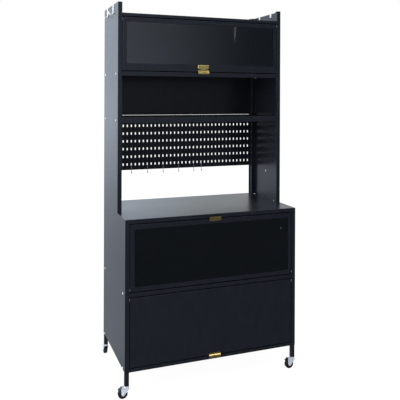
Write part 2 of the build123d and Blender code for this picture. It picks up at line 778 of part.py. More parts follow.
with BuildPart() as fork:
    with BuildSketch(Plane.XZ):
        with Locations((trail, wheel_radius)):
            Circle(fork_boss)
        with Locations(((crown_end - fork_nose) / 2, crown_top - fork_drop / 2)):
            Rectangle(crown_end + fork_nose, fork_drop)
        with Locations((brake_x, brake_z)):
            Circle(brake_ear)
        make_hull()
    extrude(amount=arm_outer, both=True)
    with BuildSketch(Plane.XY.offset(crown_bottom)):
        Rectangle(4 * wheel_radius, 2 * arm_inner)
    extrude(amount=-caster_height, mode=Mode.SUBTRACT)
    with BuildSketch(Plane.XY.offset(caster_height)):
        with Locations((crown_end + wheel_radius, 0)):
            Rectangle(2 * wheel_radius, 2 * arm_inner)
    extrude(amount=-caster_height, mode=Mode.SUBTRACT)
    with BuildSketch(Plane.XY.offset(crown_bottom)):
        Circle(stem_diameter / 2 + running)
    extrude(amount=fork_crown, mode=Mode.SUBTRACT)
    with BuildSketch(Plane.XZ):
        with Locations((trail, wheel_radius)):
            Circle(axle_diameter / 2 + running)
        with Locations((brake_x, brake_z)):
            Circle(brake_pin / 2 + running)
    extrude(amount=arm_outer, both=True, mode=Mode.SUBTRACT)

with BuildPart() as axle:
    with BuildSketch(Plane.XZ):
        with Locations((trail, wheel_radius)):
            Circle(axle_diameter / 2)
    extrude(amount=arm_outer, both=True)
    for direction in (-1, 1):
        with BuildSketch(Plane.XZ.offset(direction * arm_outer)):
            with Locations((trail, wheel_radius)):
                Circle(axle_head / 2)
        extrude(amount=direction * axle_head_height)

with BuildPart() as wheel:
    with BuildSketch(Plane.XY.offset(wheel_radius)) as section:
        with BuildLine():
            Polyline(
                (trail + axle_diameter / 2 + running, -wheel_width / 2),
                (trail + hub_radius, -wheel_width / 2),
                (trail + hub_radius, web_recess - wheel_width / 2),
                (trail + wheel_radius - tread_depth, web_recess - wheel_width / 2),
                (trail + wheel_radius - tread_depth, -wheel_width / 2),
                (trail + wheel_radius, -wheel_width / 2),
                (trail + wheel_radius, wheel_width / 2),
                (trail + wheel_radius - tread_depth, wheel_width / 2),
                (trail + wheel_radius - tread_depth, wheel_width / 2 - web_recess),
                (trail + hub_radius, wheel_width / 2 - web_recess),
                (trail + hub_radius, wheel_width / 2),
                (trail + axle_diameter / 2 + running, wheel_width / 2),
                close=True,
            )
        make_face()
        chamfer(section.vertices().sort_by(Axis.X)[-2:], length=wheel_shoulder)
    revolve(axis=Axis((trail, 0, wheel_radius), (0, 1, 0)))

with BuildPart() as brake:
    with BuildSketch(Plane.XZ):
        with Locations((brake_x, brake_z)):
            Circle(brake_hub)
        with Locations((brake_x + brake_reach, brake_z - brake_fall)):
            Circle(brake_wall / 2)
        make_hull()
    extrude(amount=arm_inner - fork_gap / 2, both=True)
    with BuildSketch(Plane.XZ):
        with Locations((brake_x, brake_z)):
            Circle(brake_pin / 2)
    extrude(amount=arm_outer, both=True)

with BuildPart() as stem:
    with BuildSketch(Plane.XY.offset(caster_height - stem_collar_height)):
        Circle(stem_collar / 2)
    extrude(amount=stem_collar_height)
    with BuildSketch(Plane.XY.offset(crown_bottom - race_gap)):
        Circle(stem_diameter / 2)
    extrude(amount=caster_height + stem_length - crown_bottom + race_gap)
    with BuildSketch(Plane.XY.offset(crown_bottom - race_gap)):
        Circle(stem_rivet / 2)
    extrude(amount=-stem_rivet_height)

with BuildPart() as socket:
    with BuildSketch(Plane.XY.offset(caster_height)):
        RectangleRounded(post_size, post_size, post_corner)
    extrude(amount=plug_flange)
    with BuildSketch(Plane.XY.offset(post_bottom)):
        plug_size = post_size - 2 * (post_wall + plug_play)
        RectangleRounded(plug_size, plug_size, post_corner - post_wall)
    extrude(amount=plug_length)
    with BuildSketch(Plane.XY.offset(caster_height)):
        Circle(stem_diameter / 2 + running)
    extrude(amount=plug_flange + plug_length, mode=Mode.SUBTRACT)

# Casters in place: the front pair trails to the left, the rear pair to the back
spots = {
    f"{end}_{side}": Location((sign * post_centre_x, post_centre_y[end], 0), (0, 0, turn))
    for end, turn in (("front", 180), ("rear", 90))
    for side, sign in sides.items()
}
for spot_name, spot in spots.items():
    for piece_name, piece in (("fork", fork), ("axle", axle), ("wheel", wheel), ("brake", brake)):
        placed = spot * piece.part
        placed.label = f"{piece_name}_{spot_name}"
        export_step(placed, f"parts/{placed.label}.step")
for piece_name, piece in (("caster_stems", stem), ("leg_sockets", socket)):
    with BuildPart() as group:
        with Locations(*spots.values()):
            add(piece.part)
    group.part.label = piece_name
    export_step(group.part, f"parts/{piece_name}.step")
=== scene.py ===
"""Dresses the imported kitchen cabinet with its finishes, its fine pieces, a studio and a camera."""

import json
import logging
import math
from collections.abc import Iterable, Sequence
from dataclasses import dataclass, field
from enum import Enum
from typing import Any

import bmesh
import bpy
from mathutils import Matrix, Vector

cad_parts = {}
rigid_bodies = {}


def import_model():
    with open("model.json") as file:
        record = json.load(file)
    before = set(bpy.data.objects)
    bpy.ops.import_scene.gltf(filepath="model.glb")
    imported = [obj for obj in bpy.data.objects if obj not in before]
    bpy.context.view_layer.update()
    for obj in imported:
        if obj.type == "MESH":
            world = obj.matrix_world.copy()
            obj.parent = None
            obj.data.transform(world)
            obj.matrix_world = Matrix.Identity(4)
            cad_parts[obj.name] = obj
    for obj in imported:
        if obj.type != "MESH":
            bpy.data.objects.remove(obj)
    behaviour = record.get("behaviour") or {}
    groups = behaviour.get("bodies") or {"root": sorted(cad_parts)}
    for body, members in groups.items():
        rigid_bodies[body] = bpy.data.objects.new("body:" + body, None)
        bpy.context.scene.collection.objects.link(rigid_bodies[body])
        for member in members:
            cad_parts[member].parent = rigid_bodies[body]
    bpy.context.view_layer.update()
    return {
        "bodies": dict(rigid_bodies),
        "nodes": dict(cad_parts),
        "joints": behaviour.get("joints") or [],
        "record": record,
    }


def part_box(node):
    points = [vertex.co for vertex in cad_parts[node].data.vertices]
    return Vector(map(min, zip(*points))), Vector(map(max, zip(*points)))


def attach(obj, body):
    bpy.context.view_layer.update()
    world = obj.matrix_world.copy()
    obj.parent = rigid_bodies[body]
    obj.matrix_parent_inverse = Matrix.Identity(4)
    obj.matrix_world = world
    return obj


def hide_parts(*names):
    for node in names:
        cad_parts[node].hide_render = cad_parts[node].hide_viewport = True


log = logging.getLogger("kitchen_cabinet")

Flat = tuple[float, float]
Triple = tuple[float, float, float]
Colour = Triple
Solid = bmesh.types.BMesh
Ring = Sequence[bmesh.types.BMVert]
Settings = dict[str, Any] | None
Sockets = dict[str | int, Any] | None

EVEN: Triple = (1.0, 1.0, 1.0)
WHITE: Colour = (1.0, 1.0, 1.0)
SIDES: Flat = (-1.0, 1.0)
CREASE = math.radians(35.0)
MITRE_LIMIT = 0.3
SHEET_WELD = 1e-6
AXIS_WELD = 1e-7
WIRE_END: Triple = (0.05, 0.5, 0.87)


class Slot(Enum):
    """Material slots of the record that the finishes answer to."""

    BLACK_STEEL = "black_steel"
    SMOKED_GLASS = "smoked_glass"
    BLACK_SEAL = "black_seal"
    GOLD_METAL = "gold_metal"
    CHROME_WIRE = "chrome_wire"
    BRIGHT_STRIP = "bright_strip"
    ZINC_STEEL = "zinc_steel"
    BLACK_PLASTIC = "black_plastic"
    WHITE_NYLON = "white_nylon"
    BLACK_WHEEL = "black_wheel"


class Corner(Enum):
    """The four casters by the corner they stand under."""

    FRONT_LEFT = "front_left"
    FRONT_RIGHT = "front_right"
    REAR_LEFT = "rear_left"
    REAR_RIGHT = "rear_right"


@dataclass(frozen=True)
class Layer:
    """One layer of noise: clouds to the metre, finer layers, weights in colour, gloss and relief."""

    scale: float
    detail: float = 2.0
    stretch: Triple = EVEN
    ramp: Flat | None = None
    share: float = 0.0
    gloss: float = 0.0
    depth: float = 0.0
    strength: float = 0.0


def drawn(scale: float, stretch: Triple, depth: float = 0.00002) -> Layer:
    """Fine drawn lines, long on the axis with the small factor."""
    return Layer(scale, stretch=stretch, share=0.25, gloss=0.10, depth=depth, strength=0.4)


class Field:
    """One shader socket that can be used in Python sums."""

    def __init__(self, graph: "Graph", socket: bpy.types.NodeSocket) -> None:
        """Keep the graph and the output socket."""
        self.graph = graph
        self.socket = socket

    def _sum(self, operation: str, first: Any, second: Any) -> "Field":
        """Add one Math node that takes two fields or numbers."""
        return self.graph.field("ShaderNodeMath", {"operation": operation}, {0: first, 1: second})

    def __add__(self, other: Any) -> "Field":
        """Self plus other."""
        return self._sum("ADD", self, other)

    def __radd__(self, other: Any) -> "Field":
        """Other plus self."""
        return self._sum("ADD", other, self)

    def __sub__(self, other: Any) -> "Field":
        """Self minus other."""
        return self._sum("SUBTRACT", self, other)

    def __rsub__(self, other: Any) -> "Field":
        """Other minus self."""
        return self._sum("SUBTRACT", other, self)

    def __mul__(self, other: Any) -> "Field":
        """Self times other."""
        return self._sum("MULTIPLY", self, other)

    def __rmul__(self, other: Any) -> "Field":
        """Other times self."""
        return self._sum("MULTIPLY", other, self)

    def clamp(self) -> "Field":
        """Keep the value between 0 and 1."""
        return self.graph.field("ShaderNodeClamp", None, {"Value": self})

    def over(self, low: float, high: float) -> "Field":
        """Ramp from 0 at low to 1 at high, smooth at both ends."""
        inputs = {"Value": self, "From Min": low, "From Max": high}
        return self.graph.field("ShaderNodeMapRange", {"interpolation_type": "SMOOTHSTEP"}, inputs)

    def between(self, rise: Flat, fall: Flat) -> "Field":
        """Ramp up over one pair of values and down again over another."""
        return self.over(*rise) * (1 - self.over(*fall))


class Graph:
    """The node tree of one material or of the world."""

    def __init__(self, tree: bpy.types.NodeTree) -> None:
        """Empty the tree and keep it."""
        self.tree = tree
        self.tree.nodes.clear()

    def node(self, kind: str, settings: Settings = None, inputs: Sockets = None) -> bpy.types.Node:
        """Add a node, set it up and feed its sockets.

        Args:
            kind: Node type.
            settings: Properties that are set first.
            inputs: Socket names or numbers with their values or fields.

        Returns:
            The node.
        """
        made = self.tree.nodes.new(kind)
        for key, value in (settings or {}).items():
            setattr(made, key, value)
        for key, value in (inputs or {}).items():
            if isinstance(value, Field):
                self.tree.links.new(value.socket, made.inputs[key])
            else:
                made.inputs[key].default_value = value
        return made

    def field(
        self, kind: str, settings: Settings = None, inputs: Sockets = None, output: str | int = 0
    ) -> Field:
        """Add a node and wrap one of its outputs, given by name or number."""
        return Field(self, self.node(kind, settings, inputs).outputs[output])

    def place(self, stretch: Triple = EVEN) -> Field:
        """Position on the object in metres, times factors on X, Y and Z."""
        inputs = {0: self.field("ShaderNodeTexCoord", output="Object"), 1: stretch}
        return self.field("ShaderNodeVectorMath", {"operation": "MULTIPLY"}, inputs)

    def noise(self, layer: Layer) -> Field:
        """Cloudy noise from 0 to 1.

        Args:
            layer: Layer to draw.

        Returns:
            The noise, after its ramp if it has one.
        """
        inputs = {"Vector": self.place(layer.stretch), "Scale": layer.scale, "Detail": layer.detail}
        cloud = self.field("ShaderNodeTexNoise", None, inputs, "Fac")
        return cloud.over(*layer.ramp) if layer.ramp else cloud

    def cells(self, scale: float) -> Field:
        """One random grey to each crystal-like cell, with so many cells to the metre."""
        cell = self.field("ShaderNodeTexVoronoi", None, {"Vector": self.place(), "Scale": scale}, "Color")
        return self.field("ShaderNodeSeparateColor", None, {"Color": cell}, "Red")

    def axis(self, vector: Field, name: str) -> Field:
        """The X, Y or Z of a vector."""
        return self.field("ShaderNodeSeparateXYZ", None, {"Vector": vector}, name)

    def ray(self, kind: str) -> Field:
        """What the light path says of the ray."""
        return self.field("ShaderNodeLightPath", output=kind)

    def upward(self, ramp: Flat) -> Field:
        """How far the surface faces up, as a ramp over the Z of its normal."""
        return self.axis(self.field("ShaderNodeNewGeometry", output="Normal"), "Z").over(*ramp)

    def mix(self, share: Field, first: "Colour | Field", second: "Colour | Field") -> Field:
        """Blend from the first colour, at share 0, to the second, at 1."""
        ends = [end if isinstance(end, Field) else (*end, 1.0) for end in (first, second)]
        return self.field("ShaderNodeMix", {"data_type": "RGBA"}, {0: share, 6: ends[0], 7: ends[1]}, 2)

    def bump(self, height: Field, layer: Layer) -> Field:
        """Turn the relief of a layer into a normal."""
        inputs = {"Height": height, "Distance": layer.depth, "Strength": layer.strength}
        return self.field("ShaderNodeBump", None, inputs)

    def principled(self, inputs: Sockets) -> bpy.types.Node:
        """Add the surface shader with the sockets given."""
        return self.node("ShaderNodeBsdfPrincipled", None, inputs)


@dataclass(frozen=True)
class Finish:
    """A finish that writes its own material."""

    slot: Slot

    def material(self) -> bpy.types.Material:
        """Make the material.

        Returns:
            The finished material.
        """
        made = bpy.data.materials.new(self.slot.value + "_finish")
        made.use_nodes = True
        graph = Graph(made.node_tree)
        surface = Field(graph, self.shade(graph).outputs[0])
        graph.node("ShaderNodeOutputMaterial", None, {"Surface": surface})
        return made

    def shade(self, graph: Graph) -> bpy.types.Node:
        """Build the surface shader in a node tree."""
        raise NotImplementedError


@dataclass(frozen=True)
class PowderCoat(Finish):
    """Satin powder coat on sheet steel, with its fine peel and a little dust."""

    colour: Colour = (0.0096, 0.0115, 0.0166)
    worn: Colour = (0.0122, 0.0142, 0.0200)
    dust: Colour = (0.055, 0.055, 0.056)
    peel: Layer = Layer(850.0, depth=0.00005, strength=0.35)
    cloud: Layer = Layer(4.5, 4.0, gloss=0.05)
    rub: Layer = Layer(38.0, 5.0, (1.0, 1.0, 0.35), gloss=0.02)
    speck: Layer = Layer(520.0, 1.0, ramp=(0.66, 0.74), share=0.22)
    level: Flat = (0.5, 0.95)
    settled: Flat = (0.42, 0.75)
    rubbed: Flat = (0.35, 0.8)
    dulled: Flat = (0.4, 0.9)
    dust_film: float = 0.10
    dust_gloss: float = 0.12
    roughness: float = 0.26
    ior: float = 1.33
    coat: float = 0.08
    coat_roughness: float = 0.2

    def shade(self, graph: Graph) -> bpy.types.Node:
        """Build the coat: peel bump, cloudy gloss and dust that lies on top faces.

        Args:
            graph: Node tree to build in.

        Returns:
            The shader node.
        """
        cloud = graph.noise(self.cloud)
        rub = graph.noise(self.rub)
        lying = graph.upward(self.level) * cloud.over(*self.settled)
        base = graph.mix(rub.over(*self.rubbed), self.colour, self.worn)
        dusty = lying * (self.dust_film + self.speck.share * graph.noise(self.speck))
        gloss = self.roughness + self.cloud.gloss * cloud + self.rub.gloss * rub.over(*self.dulled)
        return graph.principled(
            {
                "Base Color": graph.mix(dusty, base, self.dust),
                "Roughness": gloss + self.dust_gloss * dusty,
                "Normal": graph.bump(graph.noise(self.peel), self.peel),
                "IOR": self.ior,
                "Coat Weight": self.coat,
                "Coat Roughness": self.coat_roughness,
            }
        )


@dataclass(frozen=True)
class SmokedGlass(Finish):
    """Dark see-through pane with faint wipe marks."""

    tint: Colour = (0.46, 0.48, 0.53)
    smeared: Colour = (0.41, 0.43, 0.475)
    wipe: Layer = Layer(9.0, 5.0, (0.35, 1.0, 1.0))
    film: Layer = Layer(60.0, 3.0, (0.3, 1.0, 1.0), (0.45, 0.85), gloss=0.03)
    wiped: Flat = (0.35, 0.75)
    roughness: float = 0.015
    ior: float = 1.56

    def shade(self, graph: Graph) -> bpy.types.Node:
        """Build the glass: a tint that clouds slightly and a gloss dulled by wiping.

        Args:
            graph: Node tree to build in.

        Returns:
            The shader node.
        """
        wipe = graph.noise(self.wipe)
        return graph.principled(
            {
                "Base Color": graph.mix(wipe.over(*self.wiped), self.tint, self.smeared),
                "Roughness": self.roughness + self.film.gloss * graph.noise(self.film) * wipe,
                "IOR": self.ior,
                "Transmission Weight": 1.0,
            }
        )


@dataclass(frozen=True)
class Moulded(Finish):
    """Moulded rubber or plastic with a fine grain."""

    colour: Colour = (0.012, 0.012, 0.0125)
    pale: Colour = (0.024, 0.024, 0.025)
    roughness: float = 0.5
    grain: Layer = Layer(1600.0, 3.0, gloss=0.16, depth=0.00006, strength=0.5)
    cloud: Layer = Layer(55.0, 4.0, share=0.7)
    scuff: Layer = Layer(210.0, 6.0, ramp=(0.56, 0.72), share=0.5, gloss=0.08)

    def shade(self, graph: Graph) -> bpy.types.Node:
        """Build the moulding: grain bump, cloudy colour and uneven gloss.

        Args:
            graph: Node tree to build in.

        Returns:
            The shader node.
        """
        grain = graph.noise(self.grain)
        scuff = graph.noise(self.scuff)
        paler = self.cloud.share * graph.noise(self.cloud) + self.scuff.share * scuff
        gloss = self.roughness + self.grain.gloss * grain - self.scuff.gloss * scuff
        return graph.principled(
            {
                "Base Color": graph.mix(paler.clamp(), self.colour, self.pale),
                "Roughness": gloss.clamp(),
                "Normal": graph.bump(grain, self.grain),
            }
        )


@dataclass(frozen=True)
class BrushedMetal(Finish):
    """Bare or plated metal with fine lines along one axis and a little tarnish."""

    colour: Colour
    tarnish: Colour
    roughness: float
    lines: Layer = drawn(900.0, (0.03, 1.0, 1.0))
    stain: Layer = Layer(70.0, 5.0, ramp=(0.45, 0.8), share=0.75, gloss=0.08)
    handled: Layer = Layer(18.0, 3.0)
    metallic: float = 1.0

    def shade(self, graph: Graph) -> bpy.types.Node:
        """Build the metal: drawn lines, tarnish and a gloss that follows both.

        Args:
            graph: Node tree to build in.

        Returns:
            The shader node.
        """
        lines = graph.noise(self.lines)
        stain = graph.noise(self.stain)
        duller = self.stain.share * stain + self.lines.share * lines
        gloss = self.roughness + self.lines.gloss * lines * graph.noise(self.handled)
        return graph.principled(
            {
                "Base Color": graph.mix(duller.clamp(), self.colour, self.tarnish),
                "Metallic": self.metallic,
                "Roughness": gloss + self.stain.gloss * stain,
                "Normal": graph.bump(lines, self.lines),
            }
        )


@dataclass(frozen=True)
class ZincPlate(Finish):
    """Zinc plating with its faint spangle and a blue cast."""

    colour: Colour = (0.84, 0.89, 0.95)
    spangle: Colour = (0.70, 0.75, 0.81)
    warm: Colour = (0.66, 0.65, 0.61)
    metallic: float = 0.30
    roughness: float = 0.24
    cell_scale: float = 420.0
    cell_gloss: float = 0.10
    stain: Layer = Layer(95.0, 4.0, ramp=(0.55, 0.85), share=0.5, gloss=0.14)
    pit: Layer = Layer(1900.0, depth=0.00003, strength=0.4)

    def shade(self, graph: Graph) -> bpy.types.Node:
        """Build the plating: crystal cells, a warm stain and fine pitting.

        Args:
            graph: Node tree to build in.

        Returns:
            The shader node.
        """
        cell = graph.cells(self.cell_scale)
        stain = graph.noise(self.stain)
        plate = graph.mix(cell, self.colour, self.spangle)
        return graph.principled(
            {
                "Base Color": graph.mix(self.stain.share * stain, plate, self.warm),
                "Metallic": self.metallic,
                "Roughness": self.roughness + self.cell_gloss * cell + self.stain.gloss * stain,
                "Normal": graph.bump(graph.noise(self.pit), self.pit),
            }
        )


FINISHES: tuple[Finish, ...] = (
    PowderCoat(Slot.BLACK_STEEL),
    SmokedGlass(Slot.SMOKED_GLASS),
    Moulded(Slot.BLACK_SEAL, roughness=0.62),
    BrushedMetal(Slot.GOLD_METAL, (0.80, 0.60, 0.21), (0.60, 0.43, 0.13), roughness=0.24),
    BrushedMetal(
        Slot.CHROME_WIRE,
        (0.80, 0.81, 0.82),
        (0.66, 0.67, 0.69),
        roughness=0.07,
        lines=drawn(700.0, (1.0, 1.0, 0.05), 0.000008),
    ),
    BrushedMetal(
        Slot.BRIGHT_STRIP,
        (0.97, 0.975, 0.98),
        (0.91, 0.915, 0.92),
        roughness=0.34,
        lines=drawn(1100.0, (1.0, 1.0, 0.04)),
        metallic=0.0,
    ),
    ZincPlate(Slot.ZINC_STEEL),
    Moulded(Slot.BLACK_PLASTIC, roughness=0.4),
    Moulded(Slot.WHITE_NYLON, (0.66, 0.65, 0.61), (0.74, 0.73, 0.70), roughness=0.45),
    Moulded(
        Slot.BLACK_WHEEL,
        (0.006, 0.0064, 0.0072),
        (0.016, 0.0162, 0.0168),
        roughness=0.40,
        grain=Layer(900.0, 3.0, gloss=0.16, depth=0.00008, strength=0.5),
    ),
)


def mesh_data(name: str, mesh: Solid) -> bpy.types.Mesh:
    """Turn a mesh into data, its faces looking outward.

    Args:
        name: Name of the data.
        mesh: Geometry, freed afterwards.

    Returns:
        The data.
    """
    bmesh.ops.recalc_face_normals(mesh, faces=mesh.faces)
    data = bpy.data.meshes.new(name)
    mesh.to_mesh(data)
    mesh.free()
    return data


def add_object(name: str, data: bpy.types.ID) -> bpy.types.Object:
    """Put an object with this data in the scene.

    Args:
        name: Name of the object.
        data: Its mesh, lamp or camera.

    Returns:
        The new object.
    """
    obj = bpy.data.objects.new(name, data)
    bpy.context.scene.collection.objects.link(obj)
    return obj


class Shop:
    """Holds the joints' places and the materials, and turns meshes into pieces of the cabinet."""

    def __init__(self, frame: dict[str, Any]) -> None:
        """Make every material and give each CAD node its own.

        Args:
            frame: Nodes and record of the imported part.
        """
        joints = frame["record"]["behaviour"]["joints"]
        self.joints = {joint["name"]: Vector(joint["pos_m"]) for joint in joints}
        self.materials = {finish.slot: finish.material() for finish in FINISHES}
        for part in frame["record"]["subparts"]:
            self.paint(frame["nodes"][part["node"]], Slot(part["material_slot"]))

    def paint(self, obj: bpy.types.Object, slot: Slot) -> None:
        """Put one finish on an object."""
        obj.data.materials.clear()
        obj.data.materials.append(self.materials[slot])

    def piece(
        self,
        name: str,
        mesh: Solid,
        slot: Slot,
        body: str,
        replaces: Iterable[str] = (),
        round_edge: float = 0.0,
    ) -> None:
        """Turn a mesh into a piece that rides on a body.

        Args:
            name: Name of the piece.
            mesh: Geometry in the row frame, freed afterwards.
            slot: Finish of the piece.
            body: Body that carries it.
            replaces: CAD nodes that it stands for.
            round_edge: Width of the rounding on sharp edges, in metres.
        """
        data = mesh_data(name, mesh)
        data.shade_smooth()
        data.set_sharp_from_angle(angle=CREASE)
        obj = add_object(name, data)
        if round_edge > 0.0:
            rounding = obj.modifiers.new("rounding", "BEVEL")
            rounding.width = round_edge
            rounding.segments = 2
            rounding.limit_method = "ANGLE"
            rounding.angle_limit = CREASE
            rounding.harden_normals = True
        self.paint(obj, slot)
        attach(obj, body)
        for node in replaces:
            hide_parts(node)
        log.info("%s rides on %s with %d faces", name, body, len(data.polygons))


def rounded_path(points: Sequence[Sequence[float]], radius: float, steps: int = 6) -> list[Vector]:
    """Round the corners of an open line.

    Args:
        points: Corners of the line.
        radius: Radius at each inner corner.
        steps: Points on each quarter turn or so.

    Returns:
        The line with arcs at its corners.
    """
    corners = [Vector(p).to_3d() for p in points]
    line = [corners[0]]
    for before, corner, after in zip(corners, corners[1:], corners[2:]):
        back = (before - corner).normalized()
        ahead = (after - corner).normalized()
        half_angle = back.angle(ahead) / 2
        reach = radius / math.tan(half_angle)
        centre = corner + (back + ahead).normalized() * (radius / math.sin(half_angle))
        start = corner + back * reach - centre
        end = corner + ahead * reach - centre
        line += [centre + start.slerp(end, step / steps) * radius for step in range(steps + 1)]
    line.append(corners[-1])
    return line


def strip_outline(line: Sequence[Vector], thickness: float) -> list[Vector]:
    """Give a flat line a thickness on its left.

    Args:
        line: Points in the XY plane.
        thickness: Signed thickness, left of the way of travel if positive.

    Returns:
        The closed outline.
    """
    shifted = []
    last = len(line) - 1
    for index, point in enumerate(line):
        into = (point - line[max(index - 1, 0)]).normalized()
        out = (line[min(index + 1, last)] - point).normalized()
        along = (into + out).normalized()
        left = Vector((-along.y, along.x, 0.0))
        share = max(MITRE_LIMIT, along.dot(out if out.length else into))
        shifted.append(point + left * (thickness / share))
    return list(line) + shifted[::-1]


def arc(middle: Flat, reach: Flat, start: float, turn: float, steps: int) -> list[Flat]:
    """Points on an arc, round or of an ellipse with two half axes, both ends among them."""
    angles = [start + turn * step / steps for step in range(steps + 1)]
    return [(middle[0] + reach[0] * math.cos(a), middle[1] + reach[1] * math.sin(a)) for a in angles]


def turned_over(profile: Sequence[Flat]) -> list[Flat]:
    """The profile below its middle plane, from its last point back to its first."""
    return [(radius, -height) for radius, height in reversed(profile)]


def sided(outline: Iterable[Vector], sign: float) -> list[Flat]:
    """The flat outline as it is on the right side, or mirrored for the left."""
    return [(sign * point.x, point.y) for point in outline]


def bridge(mesh: Solid, first: Ring, second: Ring) -> None:
    """Close the gap between two rings of as many points."""
    for here, after in zip(range(len(first)), (*range(1, len(first)), 0)):
        mesh.faces.new((first[here], first[after], second[after], second[here]))


def prism(outline: Sequence[Sequence[float]], plane: Matrix, width: float) -> Solid:
    """Stretch a flat outline to both sides of its plane.

    Args:
        outline: Closed outline in the XY plane.
        plane: Matrix that puts the outline in the row frame.
        width: Whole width along the plane's normal.

    Returns:
        The solid.
    """
    mesh = bmesh.new()
    rings = []
    for side in (-0.5, 0.5):
        shift = Vector((0.0, 0.0, side * width))
        rings.append([mesh.verts.new(plane @ (Vector(point).to_3d() + shift)) for point in outline])
    mesh.faces.new(rings[0][::-1])
    mesh.faces.new(rings[1])
    bridge(mesh, *rings)
    return mesh


def lathe(profile: Sequence[Flat], plane: Matrix, segments: int) -> Solid:
    """Turn a closed profile about the Z axis of a plane.

    Args:
        profile: Radius and height of each point, in order round the section.
        plane: Matrix that puts the axis in the row frame.
        segments: Sides of the turned form.

    Returns:
        The turned solid.
    """
    mesh = bmesh.new()
    rings = []
    for step in range(segments):
        turn = Matrix.Rotation(2 * math.pi * step / segments, 4, "Z")
        rings.append([mesh.verts.new(plane @ turn @ Vector((r, 0.0, h))) for r, h in profile])
    for ring, other in zip(rings, rings[1:] + rings[:1]):
        bridge(mesh, ring, other)
    bmesh.ops.remove_doubles(mesh, verts=mesh.verts, dist=AXIS_WELD)
    return mesh


def wire(line: Sequence[Vector], radius: float, sides: int = 14) -> Solid:
    """Sweep a round wire with rounded ends along a line.

    Args:
        line: Points of the wire's middle.
        radius: Radius of the wire.
        sides: Sides of the round section.

    Returns:
        The wire.
    """
    mesh = bmesh.new()
    first = (line[1] - line[0]).normalized()
    last = (line[-1] - line[-2]).normalized()
    ends = [(share, radius * (1 - math.sqrt(1 - share * share))) for share in WIRE_END]
    stations = [(line[0] + first * inset, first, share) for share, inset in (*ends, (1.0, radius))]
    for before, point, after in zip(line, line[1:], line[2:]):
        stations.append((point, (after - before).normalized(), 1.0))
    for share, inset in ((1.0, radius), *reversed(ends)):
        stations.append((line[-1] - last * inset, last, share))
    across = first.orthogonal().normalized()
    rings = []
    for centre, along, share in stations:
        across = (across - along * across.dot(along)).normalized()
        other = along.cross(across)
        ring = []
        for step in range(sides):
            angle = 2 * math.pi * step / sides
            out = across * math.cos(angle) + other * math.sin(angle)
            ring.append(mesh.verts.new(centre + out * radius * share))
        rings.append(ring)
    for ring, other in zip(rings, rings[1:]):
        bridge(mesh, ring, other)
    mesh.faces.new(rings[0][::-1])
    mesh.faces.new(rings[-1])
    return mesh


def gather(meshes: Iterable[Solid]) -> Solid:
    """Put several meshes into one.

    Args:
        meshes: Meshes to join, freed afterwards.

    Returns:
        The joined mesh.
    """
    joined = bmesh.new()
    for mesh in meshes:
        copies = {vert: joined.verts.new(vert.co) for vert in mesh.verts}
        for face in mesh.faces:
            joined.faces.new([copies[vert] for vert in face.verts])
        mesh.free()
    return joined


def block(low: Vector, high: Vector) -> Solid:
    """A box between its lowest and its highest corner."""
    outline = ((low.x, low.y), (high.x, low.y), (high.x, high.y), (low.x, high.y))
    return prism(outline, Matrix.Translation((0.0, 0.0, (low.z + high.z) / 2)), high.z - low.z)


def cut(body: Solid, cutters: Iterable[Solid]) -> bpy.types.Mesh:
    """Cut solids out of a solid.

    Args:
        body: Solid to cut, freed afterwards.
        cutters: Solids to take away, freed afterwards.

    Returns:
        Mesh data of what is left.
    """
    made = [add_object("cut", mesh_data("cut", mesh)) for mesh in (body, *cutters)]
    for cutter in made[1:]:
        change = made[0].modifiers.new("cut", "BOOLEAN")
        change.object = cutter
        change.operation = "DIFFERENCE"
        change.solver = "EXACT"
    bpy.context.view_layer.update()
    solved = made[0].evaluated_get(bpy.context.evaluated_depsgraph_get())
    left = bpy.data.meshes.new_from_object(solved)
    for obj in made:
        bpy.data.objects.remove(obj)
    return left


